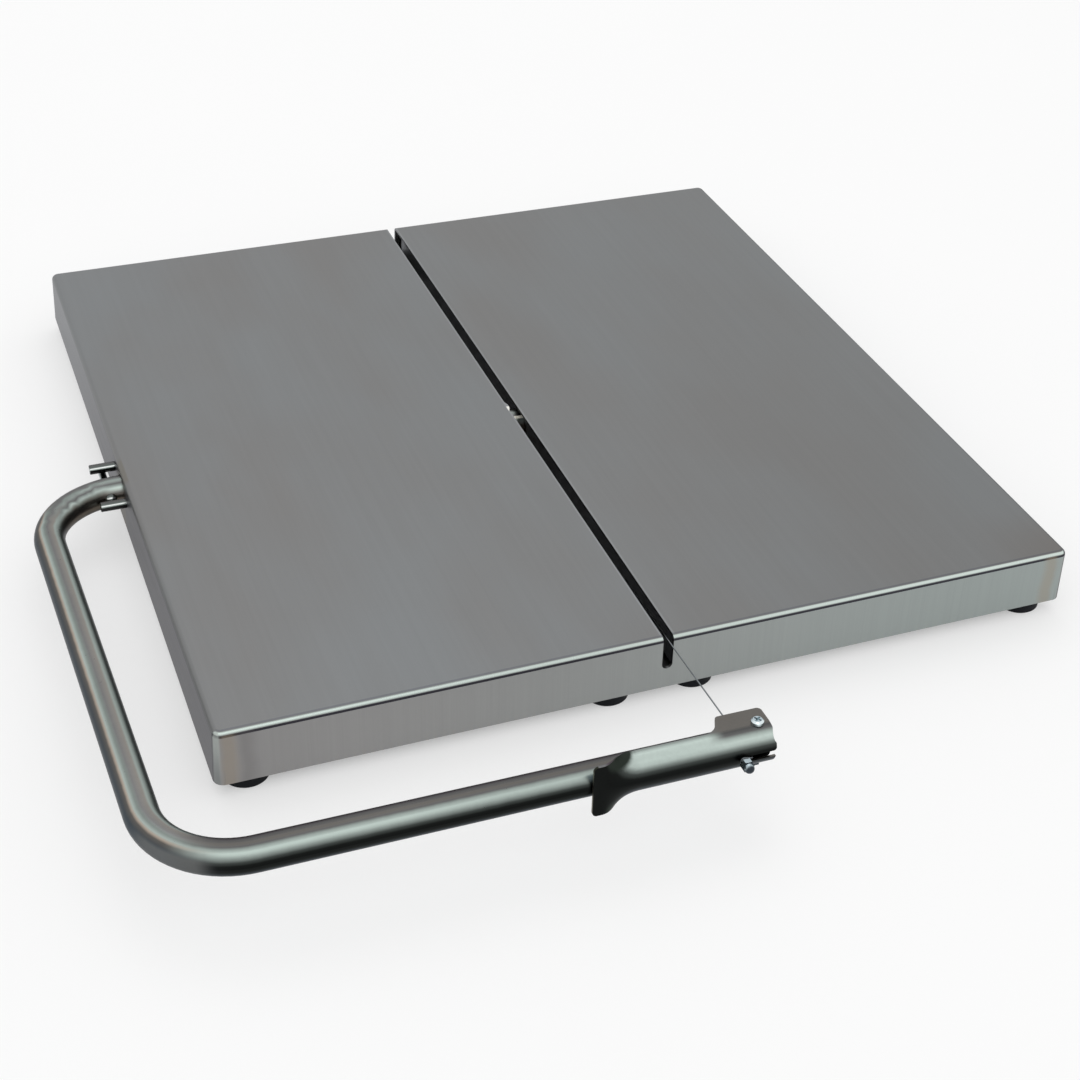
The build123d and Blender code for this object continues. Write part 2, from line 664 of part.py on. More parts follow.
# Put together
def assembly():
    """Every node by name, as a shape or a list of shapes."""
    starts = block_starts()
    rear_stop, front_stop = stop_places()
    nodes = {
        "table_shell": table_shell(),
        "slot_rail_left": slot_rail(-1),
        "slot_rail_right": slot_rail(1),
        "bearing_left": bearing_block(starts[0]),
        "bearing_middle": bearing_block(starts[1]),
        "bearing_right": bearing_block(starts[2]),
        "bearing_studs": bearing_studs(),
        "bearing_washers": bearing_washers(),
        "bearing_nuts": bearing_nuts(),
        "stop_rod_rear": stop_rod(rear_stop),
        "stop_rod_front": stop_rod(front_stop),
        "stop_nuts": stop_nuts(),
        "foot_screws": foot_screws(),
        "foot_washers": foot_washers(),
        "foot_nuts": foot_nuts(),
        "bow_tube": bow_tube(),
        "cross_pin": cross_pin(),
        "thrust_pins": thrust_pins(),
        "thrust_washers": thrust_washers(),
        "hinge_plug": hinge_plug(),
        "cutting_wire": cutting_wire(),
        "wire_ferrule": wire_ferrule(),
        "tension_lever": tension_lever(),
        "lever_pivot_screw": lever_pivot_screw(),
        "lever_pivot_washers": lever_pivot_washers(),
        "lever_pivot_nut": lever_pivot_nut(),
        "wire_stud": wire_stud(),
        "stud_cap_nut": stud_cap_nut(),
        "wire_loop": wire_loop(),
    }
    for number, (x, y) in enumerate(foot_places(), start=1):
        nodes[f"foot_{number}"] = Pos(x, y, 0) * foot()
    return nodes


def solids_of(shape):
    """All solids of a shape or of a list of shapes."""
    shapes = shape if isinstance(shape, list) else [shape]
    return [solid for one in shapes for solid in one.solids()]


def footprint_middle(solids):
    """Middle of the bounding box's underside."""
    boxes = [solid.bounding_box() for group in solids.values() for solid in group]
    low = [min(getattr(box.min, axis) for box in boxes) for axis in "XYZ"]
    high = [max(getattr(box.max, axis) for box in boxes) for axis in "XYZ"]
    return Vector((low[0] + high[0]) / 2, (low[1] + high[1]) / 2, low[2])


def write(nodes):
    """Shift the origin under the middle of the bounding box and write one file per node."""
    solids = {name: solids_of(shape) for name, shape in nodes.items()}
    shift = footprint_middle(solids) * -1
    for name, group in solids.items():
        moved = [solid.moved(Location(shift)) for solid in group]
        shape = moved[0] if len(moved) == 1 else Compound(moved)
        export_step(shape, f"parts/{name}.step")
    return shift


offset = write(assembly())
hinge = offset + Vector(0, HINGE_Y, HINGE_Z)
lever_pivot = offset + lever_plane().origin
lever_axis = lever_plane().z_dir
print("origin shift", offset)
print("hinge point", hinge, "open angle", open_angle())
print("lever pivot", lever_pivot, "axis", lever_axis)
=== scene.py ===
"""Looks of a table cheese cutter: brushed steel tray, satin tube bow with its lever, black feet."""

import json
from collections import namedtuple
from math import pi

import bpy
from mathutils import Matrix, Vector


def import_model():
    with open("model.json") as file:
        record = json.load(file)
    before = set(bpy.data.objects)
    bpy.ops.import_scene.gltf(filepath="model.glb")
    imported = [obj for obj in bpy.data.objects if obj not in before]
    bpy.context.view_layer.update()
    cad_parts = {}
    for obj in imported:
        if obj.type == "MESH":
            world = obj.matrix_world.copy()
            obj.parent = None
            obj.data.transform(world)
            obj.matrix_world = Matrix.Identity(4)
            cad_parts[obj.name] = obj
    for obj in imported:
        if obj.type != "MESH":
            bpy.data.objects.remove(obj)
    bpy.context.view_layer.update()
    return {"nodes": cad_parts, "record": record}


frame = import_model()

# Places on the CAD model at rest, in metres.
TABLE_LEFT = -0.2017
TABLE_RIGHT = 0.2533
TABLE_FRONT = -0.1808
TABLE_REAR = 0.2802
HINGE_Y = 0.0434
SLOT_X = 0.0233
SLOT_HALF = 0.0028
LUG_Y = 0.0406
BEND_CENTRE_X = -0.2027
FRONT_BEND_Y = -0.2185
REAR_BEND_Y = 0.0009
EAR_START = 0.003
SCREW_HEAD_Z = 0.0498

# Sockets of a Mix node: its two colours and their result, and its two numbers.
COLOUR_A, COLOUR_B, COLOUR_RESULT = 6, 7, 2
NUMBER_A, NUMBER_B = 2, 3

METAL = 1.0
NO_METAL = 0.0
WHITE = (1.0, 1.0, 1.0, 1.0)

Spot = namedtuple("Spot", "x y z nx ny nz")


class Shader:
    """A Principled material with short calls for the nodes that feed it."""

    def __init__(self, name):
        self.material = bpy.data.materials.new(name)
        self.material.use_nodes = True
        self.tree = self.material.node_tree
        self.surface = self.tree.nodes["Principled BSDF"]

    def node(self, kind, inputs=None, **settings):
        """Add a node; inputs go by socket name or number, settings are the node's properties."""
        made = self.tree.nodes.new(kind)
        for key, value in settings.items():
            setattr(made, key, value)
        for key, value in (inputs or {}).items():
            self.feed(made.inputs[key], value)
        return made

    def feed(self, socket, value):
        """Link a socket to another node's output, or set it to a constant."""
        if isinstance(value, bpy.types.NodeSocket):
            self.tree.links.new(value, socket)
        else:
            socket.default_value = value

    def coordinates(self, output):
        return self.node("ShaderNodeTexCoord").outputs[output]

    def split(self, vector):
        parts = self.node("ShaderNodeSeparateXYZ", {0: vector})
        return [parts.outputs[axis] for axis in ("X", "Y", "Z")]

    def spot(self):
        """The point's place on the object in metres, and the direction that its surface faces."""
        return Spot(*self.split(self.coordinates("Object")), *self.split(self.coordinates("Normal")))

    def math(self, operation, first, second=0.0):
        return self.node("ShaderNodeMath", {0: first, 1: second}, operation=operation).outputs[0]

    def vector(self, operation, *values, output="Vector"):
        inputs = dict(enumerate(values))
        return self.node("ShaderNodeVectorMath", inputs, operation=operation).outputs[output]

    def product(self, first, *others):
        for other in others:
            first = self.math("MULTIPLY", first, other)
        return first

    def scaled(self, value, factor, start):
        return self.math("ADD", self.math("MULTIPLY", value, factor), start)

    def apart(self, value, place):
        return self.math("ABSOLUTE", self.math("SUBTRACT", value, place))

    def level(self, value, step):
        """Smooth step; step is the value where it is 0 and the one where it is 1, in either order."""
        limits = {"Value": value, "From Min": step[0], "From Max": step[1]}
        return self.node("ShaderNodeMapRange", limits, interpolation_type="SMOOTHSTEP").outputs[0]

    def steps(self, *steps):
        """Product of smooth steps, each as (value, step)."""
        return self.product(*[self.level(value, step) for value, step in steps])

    def noise(self, cycles, detail=2.0, offset=0.0, distortion=0.0):
        """Noise of 0..1; cycles per metre are one number, or one for each of X, Y and Z."""
        scale = cycles if isinstance(cycles, tuple) else (cycles, cycles, cycles)
        moved = self.vector("ADD", self.coordinates("Object"), (offset, offset, offset))
        inputs = {
            "Vector": self.vector("MULTIPLY", moved, scale),
            "Scale": 1.0,
            "Detail": detail,
            "Distortion": distortion,
        }
        return self.node("ShaderNodeTexNoise", inputs).outputs["Fac"]

    def ramp(self, factor, stops):
        """Colour ramp through stops of (position, linear RGB)."""
        made = self.node("ShaderNodeValToRGB", {"Fac": factor})
        points = made.color_ramp.elements
        while len(points) < len(stops):
            points.new(0.5)
        for point, (position, colour) in zip(points, stops):
            point.position = position
            point.color = (*colour, 1.0)
        return made.outputs["Color"]

    def mix(self, factor, first, second, blend="MIX"):
        """The colour first where factor is 0, and second where it is 1; each a socket or an RGB."""
        made = self.node("ShaderNodeMix", {0: factor}, data_type="RGBA", blend_type=blend)
        for number, colour in ((COLOUR_A, first), (COLOUR_B, second)):
            is_socket = isinstance(colour, bpy.types.NodeSocket)
            self.feed(made.inputs[number], colour if is_socket else (*colour, 1.0))
        return made.outputs[COLOUR_RESULT]

    def choose(self, factor, first, second):
        """The number first where factor is 0, and second where it is 1."""
        inputs = {0: factor, NUMBER_A: first, NUMBER_B: second}
        return self.node("ShaderNodeMix", inputs, data_type="FLOAT").outputs[0]

    def paint(self, colour, share, tone, strength):
        """Lay a tone over a colour where share is 1, at the given strength."""
        return self.mix(self.math("MULTIPLY", share, strength), colour, tone)

    def vary(self, colour, noise, spread):
        """Lighten and darken a colour by up to spread, with noise of 0..1."""
        centred = self.math("SUBTRACT", noise, 0.5)
        amount = self.scaled(centred, 2 * spread, 1.0)
        grey = self.node("ShaderNodeCombineColor", {0: amount, 1: amount, 2: amount}).outputs[0]
        return self.mix(1.0, colour, grey, "MULTIPLY")

    def bump(self, height, strength, distance):
        inputs = {"Height": height, "Strength": strength, "Distance": distance}
        self.feed(self.surface.inputs["Normal"], self.node("ShaderNodeBump", inputs).outputs[0])

    def dim_edges(self, grey):
        """Less shine where metal is seen at a grazing angle."""
        self.surface.inputs["Specular Tint"].default_value = (grey, grey, grey, 1.0)

    def finish(self, colour, roughness, metallic):
        self.feed(self.surface.inputs["Base Color"], colour)
        self.feed(self.surface.inputs["Roughness"], roughness)
        self.feed(self.surface.inputs["Metallic"], metallic)
        return self.material


def seen(red, green, blue):
    """Linear colour of a display colour given in 8 bits."""

    def linear(channel):
        share = channel / 255
        return share / 12.92 if share <= 0.04045 else ((share + 0.055) / 1.055) ** 2.4

    return linear(red), linear(green), linear(blue)


# Tones of the sheet, as linear colours.
TOP_WARM = (0.192, 0.190, 0.188)
TOP_COOL = (0.202, 0.211, 0.216)
TOP_RIGHT = (0.172, 0.178, 0.178)
TOP_BROWN = (0.165, 0.148, 0.135)
# Painted light on the front flange, and painted shade on the left flange, darker towards its front.
FLANGE_LIGHT_LEFT_END = (0.305, 0.300, 0.298)
FLANGE_LIGHT_RIGHT_END = (0.330, 0.366, 0.356)
SIDE_SHADE_FRONT_END = (0.096, 0.095, 0.105)
SIDE_SHADE_REAR_END = (0.19, 0.195, 0.208)
# Painted shade along the right fold and down the front right corner.
RIGHT_FOLD_SHADE = (0.030, 0.038, 0.045)
RIGHT_CORNER_SHADE = (0.05, 0.06, 0.07)
# Painted highlights on the slot's cut edges and on the lug's root.
SLOT_RIM_HIGHLIGHT = (0.262, 0.272, 0.278)
LUG_PAINTED_GLINT = (0.80, 0.79, 0.74)
# Painted highlight on the front fold, with painted shade above and below it.
FOLD_RISE_SHADE = (0.105, 0.11, 0.13)
FOLD_HIGHLIGHT_LEFT_END = (0.47, 0.53, 0.50)
FOLD_HIGHLIGHT_RIGHT_END = (0.62, 0.70, 0.66)
FOLD_SHADE_LINE = (0.030, 0.028, 0.038)
# Painted highlight on the front left corner.
LEFT_CORNER_HIGHLIGHT = (0.44, 0.47, 0.45)
WELD_TAN = (0.34, 0.275, 0.20)
WELD_GREY = (0.15, 0.14, 0.14)
HINGE_BROWN = (0.16, 0.14, 0.095)

# Streaks of the brushing: cycles per metre across and along them, noise detail and offset.
FINE_STREAKS = (1500, 14, 3.0, 0.0)
BROAD_STREAKS = (330, 7, 2.0, 3.1)
SIDE_NORMAL = 0.6

WELD_INSET = 0.0035
WELD_WOBBLE = 0.004
BAND_POLISH = 0.2
LUG_ROOT_X = SLOT_X - SLOT_HALF + 0.0002

# Smooth steps on the sheet, as (where it is 0, where it is 1). X, Y and Z are metres, and NX, NY
# and NZ are parts of the direction that the surface faces.
CLOUD_STEP = (0.3, 0.7)
RIGHTWARD_X = (TABLE_LEFT, TABLE_RIGHT)
BROWN_X = (0.19, TABLE_RIGHT)
BROWN_Y = (TABLE_FRONT + 0.05, TABLE_FRONT)
SIDE_Y = (0.0, 0.24)
SIDE_NX = (-0.93, -0.985)
FRONT_NY = (-0.8, -0.97)
RIGHT_FOLD_NX = (0.12, 0.4)
RIGHT_FOLD_NZ = (0.05, 0.3)
RIGHT_CORNER_NX = (0.35, 0.7)
RIGHT_CORNER_NY = (0.0, -0.3)
RIM_X = (SLOT_HALF + 0.0014, SLOT_HALF + 0.0004)
RIM_NZ = (0.9, 0.98)
GLINT_X = (0.0011, 0.0006)
GLINT_Y = (0.0027, 0.0017)
FOLD_NY = (-0.12, -0.3)
BAND_LOWER_NZ = (0.44, 0.62)
BAND_UPPER_NZ = (0.93, 0.82)
BAND_END_NX = (0.5, 0.25)
RISE_NZ = (0.92, 0.97)
RISE_NY = (-0.02, -0.10)
LINE_LOWER_NZ = (0.04, 0.11)
LINE_UPPER_NZ = (0.50, 0.38)
LEFT_CORNER_NX = (-0.22, -0.5)
LEFT_CORNER_NY = (-0.22, -0.5)
LEFT_CORNER_Z = (0.010, 0.036)
TAN_OUTER = (0.003, 0.007)
TAN_INNER = (0.0145, 0.009)
WELD_LINE_OUTER = (0.011, 0.016)
WELD_LINE_INNER = (0.024, 0.0165)
WELD_LINE_X = (0.0, -0.1)
HINGE_BROWN_Y = (0.014, 0.008)
HINGE_BROWN_NX = (-0.05, -0.2)


def brushing(s, nx):
    """Fine and broad streaks: across X on the top and the front, across Z on the sides."""
    on_side = s.math("GREATER_THAN", s.math("ABSOLUTE", nx), SIDE_NORMAL)
    streaks = []
    for across, along, detail, offset in (FINE_STREAKS, BROAD_STREAKS):
        on_top = s.noise((across, along, along), detail, offset)
        beside = s.noise((along, along, across), detail, offset)
        streaks.append(s.choose(on_side, on_top, beside))
    return streaks


def sheet_faces(s, at, front, to_right):
    """Clouded top that is browner at its front right, a front flange made paler by painted light, and
    a left flange made darker by painted shade.
    """
    cloud = s.noise((11, 5, 11), detail=3.0, offset=7.7)
    colour = s.mix(s.level(cloud, CLOUD_STEP), TOP_WARM, TOP_COOL)
    colour = s.paint(colour, to_right, TOP_RIGHT, strength=0.4)
    brown = s.steps((at.x, BROWN_X), (at.y, BROWN_Y))
    colour = s.paint(colour, brown, TOP_BROWN, strength=0.6)
    # Painted light makes the front flange paler; painted shade makes the left flange darker.
    colour = s.mix(front, colour, s.mix(to_right, FLANGE_LIGHT_LEFT_END, FLANGE_LIGHT_RIGHT_END))
    side = s.mix(s.level(at.y, SIDE_Y), SIDE_SHADE_FRONT_END, SIDE_SHADE_REAR_END)
    return s.mix(s.level(at.nx, SIDE_NX), colour, side)


def right_edges(s, colour, at):
    """Painted shade: a dark line along the right fold and down the front right corner."""
    fold = s.steps((at.nx, RIGHT_FOLD_NX), (at.nz, RIGHT_FOLD_NZ))
    colour = s.paint(colour, fold, RIGHT_FOLD_SHADE, strength=0.8)
    corner = s.steps((at.nx, RIGHT_CORNER_NX), (at.ny, RIGHT_CORNER_NY))
    return s.paint(colour, corner, RIGHT_CORNER_SHADE, strength=0.6)


def slot_rims(s, colour, at):
    """Painted highlights: paler lines along the slot's cut edges, and a bright glint on the lug's
    root.
    """
    rim = s.steps((s.apart(at.x, SLOT_X), RIM_X), (at.nz, RIM_NZ))
    colour = s.paint(colour, rim, SLOT_RIM_HIGHLIGHT, strength=0.8)
    glint = s.steps((s.apart(at.x, LUG_ROOT_X), GLINT_X), (s.apart(at.y, LUG_Y), GLINT_Y))
    return s.mix(glint, colour, LUG_PAINTED_GLINT)


def front_fold(s, colour, at, to_right):
    """Painted highlight band on the front fold, painted shade where the top starts to turn, and a
    painted dark line below.
    """
    facing = s.level(at.ny, FOLD_NY)
    band = s.steps((at.nz, BAND_LOWER_NZ), (at.nz, BAND_UPPER_NZ), (at.nx, BAND_END_NX))
    band = s.product(band, facing)
    rise = s.steps((at.nz, RISE_NZ), (at.ny, RISE_NY))
    colour = s.paint(colour, rise, FOLD_RISE_SHADE, strength=0.5)
    colour = s.mix(band, colour, s.mix(to_right, FOLD_HIGHLIGHT_LEFT_END, FOLD_HIGHLIGHT_RIGHT_END))
    line = s.product(s.steps((at.nz, LINE_LOWER_NZ), (at.nz, LINE_UPPER_NZ)), facing)
    return s.paint(colour, line, FOLD_SHADE_LINE, strength=0.95), band


def left_corner(s, colour, at):
    """Painted highlight on the front left corner, stronger towards the top."""
    corner = s.steps((at.nx, LEFT_CORNER_NX), (at.ny, LEFT_CORNER_NY))
    upper = s.scaled(s.level(at.z, LEFT_CORNER_Z), factor=0.65, start=0.15)
    return s.mix(s.product(corner, upper), colour, LEFT_CORNER_HIGHLIGHT)


def weld_marks(s, colour, x, front):
    """Tan heat tint on the front flange near both corners, and a grey line beside the left one."""
    from_left = s.math("SUBTRACT", x, TABLE_LEFT)
    from_right = s.math("SUBTRACT", TABLE_RIGHT - WELD_INSET, x)
    wobble = s.math("MULTIPLY", s.noise((60, 60, 90), offset=1.3), WELD_WOBBLE)
    inward = s.math("ADD", s.math("MINIMUM", from_left, from_right), wobble)
    tint = s.product(s.steps((inward, TAN_OUTER), (inward, TAN_INNER)), front)
    colour = s.paint(colour, tint, WELD_TAN, strength=0.4)
    line = s.steps((inward, WELD_LINE_OUTER), (inward, WELD_LINE_INNER), (x, WELD_LINE_X))
    return s.paint(colour, s.product(line, front), WELD_GREY, strength=0.3)


def hinge_brown_tone(s, colour, at):
    """Browner tone on the left fold and flange, where the hinge tube goes in."""
    stain = s.steps((s.apart(at.y, HINGE_Y), HINGE_BROWN_Y), (at.nx, HINGE_BROWN_NX))
    return s.paint(colour, stain, HINGE_BROWN, strength=0.35)


def sheet_steel():
    """Brushed sheet of the table, with weld heat at its corners, a front fold that is polished and
    painted with a highlight, and painted light and shade on its faces and edges.
    """
    s = Shader("sheet_steel_finish")
    at = s.spot()
    fine, broad = brushing(s, at.nx)
    front = s.level(at.ny, FRONT_NY)
    to_right = s.level(at.x, RIGHTWARD_X)
    colour = sheet_faces(s, at, front, to_right)
    colour = right_edges(s, colour, at)
    colour = slot_rims(s, colour, at)
    colour = s.vary(colour, fine, spread=0.07)
    colour = s.vary(colour, broad, spread=0.04)
    colour, band = front_fold(s, colour, at, to_right)
    colour = left_corner(s, colour, at)
    colour = weld_marks(s, colour, at.x, front)
    colour = hinge_brown_tone(s, colour, at)
    grain_rough = s.scaled(fine, factor=0.14, start=0.38)
    # The painted highlight band is also made smoother.
    rough = s.math("SUBTRACT", grain_rough, s.math("MULTIPLY", band, BAND_POLISH))
    s.bump(fine, strength=0.08, distance=0.0001)
    return s.finish(colour, rough, METAL)


RAIL_DARK = (0.24, 0.25, 0.27)
RAIL_PALE = (0.34, 0.35, 0.37)
RAIL_SHADE = (0.02, 0.02, 0.02)
RAIL_SHADE_NX = (0.3, 0.8)


def rail_steel():
    """Mill finish of the hidden rails, dark grey, with painted shade, near black, on faces that turn
    towards +X.
    """
    s = Shader("rail_steel_finish")
    streak = s.noise((90, 9, 90), detail=3.0)
    spots = s.noise(160, detail=4.0, offset=2.0)
    colour = s.mix(streak, RAIL_DARK, RAIL_PALE)
    # Painted shade: near black on faces that turn towards +X.
    colour = s.mix(s.level(s.spot().nx, RAIL_SHADE_NX), colour, RAIL_SHADE)
    colour = s.vary(colour, spots, spread=0.25)
    s.bump(spots, strength=0.12, distance=0.0003)
    return s.finish(colour, s.scaled(spots, factor=0.25, start=0.35), METAL)


# Tints of a tone's red, green and blue.
PLAIN = (1.0, 1.0, 1.0)
GREEN = (0.965, 1.03, 1.0)
BLUE = (0.91, 1.0, 1.08)
WARM = (1.03, 1.0, 0.96)
COPPER = (1.08, 1.0, 0.92)
PLUM = (1.04, 0.94, 1.02)

# Painted highlights and shade round a tube, as (degrees, display grey, tint); 0 degrees is outward
# and 90 is on top.
UNDERSIDE_SHEEN = [
    (-50, 108, BLUE),
    (-30, 74, BLUE),
    (-12, 38, GREEN),
    (4, 23, GREEN),
    (15, 28, GREEN),
    (26, 69, GREEN),
    (34, 125, GREEN),
]
BAR_SHEEN = UNDERSIDE_SHEEN + [
    (42, 155, GREEN),
    (55, 173, GREEN),
    (65, 157, GREEN),
    (74, 97, PLAIN),
    (84, 86, WARM),
    (100, 92, PLAIN),
    (116, 66, PLUM),
]
SLEEVE_SHEEN = UNDERSIDE_SHEEN + [
    (43, 178, GREEN),
    (55, 189, GREEN),
    (76, 195, GREEN),
    (86, 146, GREEN),
    (96, 82, PLUM),
]
EAR_SHEEN = UNDERSIDE_SHEEN + [
    (43, 181, GREEN),
    (52, 193, GREEN),
    (62, 168, GREEN),
    (72, 100, PLAIN),
    (82, 78, PLAIN),
    (94, 101, WARM),
]
LEG_SHEEN = [
    (-180, 99, PLAIN),
    (-150, 71, PLAIN),
    (-100, 90, PLAIN),
    (-20, 96, BLUE),
    (30, 75, BLUE),
    (50, 92, WARM),
    (58, 158, COPPER),
    (65, 173, GREEN),
    (76, 133, GREEN),
    (88, 115, PLAIN),
    (108, 135, WARM),
    (116, 159, GREEN),
    (134, 117, GREEN),
    (180, 99, PLAIN),
]
HINGE_SHEEN = [
    (-180, 159, COPPER),
    (-160, 136, COPPER),
    (-140, 77, WARM),
    (-110, 51, PLAIN),
    (40, 86, PLAIN),
    (84, 114, PLAIN),
    (96, 137, GREEN),
    (116, 101, PLAIN),
    (133, 185, GREEN),
    (156, 127, WARM),
    (180, 159, COPPER),
]
ROD_SHEEN = [
    (-70, 94, GREEN),
    (-30, 35, PLAIN),
    (10, 49, PLAIN),
    (28, 176, GREEN),
    (37, 227, PLAIN),
    (47, 113, GREEN),
    (75, 73, PLAIN),
    (110, 95, PLAIN),
    (150, 60, PLAIN),
]

# Painted reflection grey on the outer flank of the front bend, and painted shade inside the bends.
FLANK_REFLECTION_GREY = seen(110, 111, 110)
INNER_BEND_SHADE = seen(66, 62, 54)
# Painted highlight on the tube where it shows through the slot.
SLOT_BAND_HIGHLIGHT = (0.93, 0.90, 0.78)
# Painted shade on the curl's face and the ear's side, and a painted highlight on the curl's rim.
CURL_FACE_SHADE = seen(45, 47, 40)
EAR_SIDE_SHADE = seen(44, 50, 45)
CURL_RIM_HIGHLIGHT = seen(120, 117, 106)
ROD_END = seen(150, 160, 162)

# How far the tones wander round the tube, as shares of a turn: everywhere, and more in the rear
# bend, which looks wrinkled.
WRINKLE = 0.006
BEND_WRINKLE = 0.085
# Metallic of that painted highlight band, low so that it catches the light.
SLOT_BAND_METAL = 0.1

# Smooth steps on tube, lever and rods. COURSE is the Y part of the tube's outward direction:
# -1 on the front bar, 0 on the side leg and 1 on the hinge part. LEAN is how far the surface
# faces outward.
TO_BAR_COURSE = (-0.62, -0.99)
TO_HINGE_COURSE = (0.2, 0.75)
BENT_START_COURSE = (0.05, 0.4)
BENT_END_COURSE = (1.0, 0.93)
FLANK_FRONT_COURSE = (-0.95, -0.85)
FLANK_REAR_COURSE = (-0.2, -0.5)
FLANK_LEAN = (0.78, 0.92)
INNER_LEAN = (-0.6, -0.85)
SLOT_BAND_LOWER_NY = (-0.46, -0.54)
SLOT_BAND_UPPER_NY = (-0.72, -0.64)
SLOT_BAND_X = (0.009, 0.008)
BY_EARS_X = (EAR_START, EAR_START + 0.010)
CURL_FACE_NX = (-0.05, -0.22)
EAR_SIDE_NX = (0.15, 0.36)
CURL_RIM_NX = (-0.85, -0.97)
ROD_END_NX = (-0.7, -0.9)


def angle_ramp(s, place, tones):
    """Colour ramp over a full turn of -180 to 180 degrees."""
    stops = []
    for degrees, grey, tint in tones:
        stops.append(((degrees + 180) / 360, seen(*[grey * share for share in tint])))
    return s.ramp(place, stops)


def ring_angle(s, outward, nz):
    """Where a point sits round a tube, as a share of a turn that starts at -180 degrees."""
    angle = s.math("ARCTAN2", nz, outward)
    return s.math("ADD", s.math("DIVIDE", angle, 2 * pi), 0.5)


def tube_course(s, at):
    """The Y part of the tube's outward direction, and how far the surface faces that way."""
    out_x = s.math("MINIMUM", s.math("SUBTRACT", at.x, BEND_CENTRE_X), 0.0)
    out_front = s.math("MINIMUM", s.math("SUBTRACT", at.y, FRONT_BEND_Y), 0.0)
    out_rear = s.math("MAXIMUM", s.math("SUBTRACT", at.y, REAR_BEND_Y), 0.0)
    out_y = s.math("ADD", out_front, out_rear)
    joined = s.node("ShaderNodeCombineXYZ", {"X": out_x, "Y": out_y, "Z": 0.0}).outputs[0]
    outward = s.vector("NORMALIZE", joined)
    lean = s.vector("DOT_PRODUCT", outward, s.coordinates("Normal"), output="Value")
    return s.split(outward)[1], lean


def tube_stripes(s, course, lean, bent, nz):
    """Painted highlight stripes and shade of leg, bar and hinge part, blended in the bends and
    wrinkled in the rear one.
    """
    ripple = s.math("SUBTRACT", s.noise((190, 190, 50), detail=0.5, offset=9.0), 0.5)
    wander = s.math("MULTIPLY", ripple, s.scaled(bent, BEND_WRINKLE, WRINKLE))
    place = s.math("ADD", ring_angle(s, lean, nz), wander)
    colour = angle_ramp(s, place, LEG_SHEEN)
    colour = s.mix(s.level(course, TO_BAR_COURSE), colour, angle_ramp(s, place, BAR_SHEEN))
    colour = s.mix(s.level(course, TO_HINGE_COURSE), colour, angle_ramp(s, place, HINGE_SHEEN))
    # Painted reflection grey on the outer flank of the front bend, and painted shade inside the
    # bends.
    flank = s.steps((course, FLANK_FRONT_COURSE), (course, FLANK_REAR_COURSE), (lean, FLANK_LEAN))
    colour = s.paint(colour, flank, FLANK_REFLECTION_GREY, strength=0.7)
    inner = s.math("MULTIPLY", bent, s.level(lean, INNER_LEAN))
    return s.paint(colour, inner, INNER_BEND_SHADE, strength=0.7)


def tube_steel():
    """Satin tube: each stretch has a painted highlight stripe on its upper flank and a dark lower
    flank of painted shade.
    """
    s = Shader("tube_steel_finish")
    at = s.spot()
    course, lean = tube_course(s, at)
    bent = s.steps((course, BENT_START_COURSE), (course, BENT_END_COURSE))
    colour = tube_stripes(s, course, lean, bent, at.nz)
    grain = s.noise(420, detail=4.0)
    colour = s.vary(colour, grain, spread=0.06)
    colour = s.vary(colour, s.noise(18, offset=4.0), spread=0.08)
    # Painted highlight: a pale, nearly non-metal band on the tube's upper front where it shows
    # through the slot.
    in_slot = s.level(s.apart(at.x, SLOT_X), SLOT_BAND_X)
    slot_highlight = s.product(s.steps((at.ny, SLOT_BAND_LOWER_NY), (at.ny, SLOT_BAND_UPPER_NY)), in_slot)
    colour = s.mix(slot_highlight, colour, SLOT_BAND_HIGHLIGHT)
    s.bump(grain, strength=0.05, distance=0.0002)
    s.dim_edges(grey=0.62)
    rough = s.scaled(grain, factor=0.12, start=0.24)
    return s.finish(colour, rough, s.scaled(slot_highlight, SLOT_BAND_METAL - METAL, METAL))


def lever_steel():
    """Pressed sheet of the lever, duller than the tube, with painted highlights and shade round it,
    painted shade on the curl's face and the ear's side, and a painted highlight on the curl's rim.
    """
    s = Shader("lever_steel_finish")
    at = s.spot()
    place = ring_angle(s, s.math("MULTIPLY", at.ny, -1.0), at.nz)
    colour = angle_ramp(s, place, SLEEVE_SHEEN)
    colour = s.mix(s.level(at.x, BY_EARS_X), colour, angle_ramp(s, place, EAR_SHEEN))
    # Painted shade on the curl's face and the ear's side, and a painted highlight on the curl's rim.
    colour = s.mix(s.level(at.nx, CURL_FACE_NX), colour, CURL_FACE_SHADE)
    colour = s.mix(s.level(at.nx, EAR_SIDE_NX), colour, EAR_SIDE_SHADE)
    colour = s.mix(s.level(at.nx, CURL_RIM_NX), colour, CURL_RIM_HIGHLIGHT)
    grain = s.noise(520, detail=4.0, offset=1.0)
    colour = s.vary(colour, grain, spread=0.08)
    colour = s.vary(colour, s.noise(40, detail=3.0, offset=6.0), spread=0.08)
    s.bump(grain, strength=0.06, distance=0.0002)
    s.dim_edges(grey=0.7)
    return s.finish(colour, s.scaled(grain, factor=0.16, start=0.26), METAL)


def rod_steel():
    """Drawn rod with a narrow painted highlight stripe and painted shade round it, and grey ends."""
    s = Shader("rod_steel_finish")
    at = s.spot()
    colour = angle_ramp(s, ring_angle(s, s.math("MULTIPLY", at.ny, -1.0), at.nz), ROD_SHEEN)
    colour = s.mix(s.level(at.nx, ROD_END_NX), colour, ROD_END)
    scratches = s.noise((300, 1600, 1600), detail=3.0, offset=2.0)
    colour = s.vary(colour, scratches, spread=0.12)
    s.bump(scratches, strength=0.06, distance=0.0001)
    return s.finish(colour, roughness=0.2, metallic=METAL)


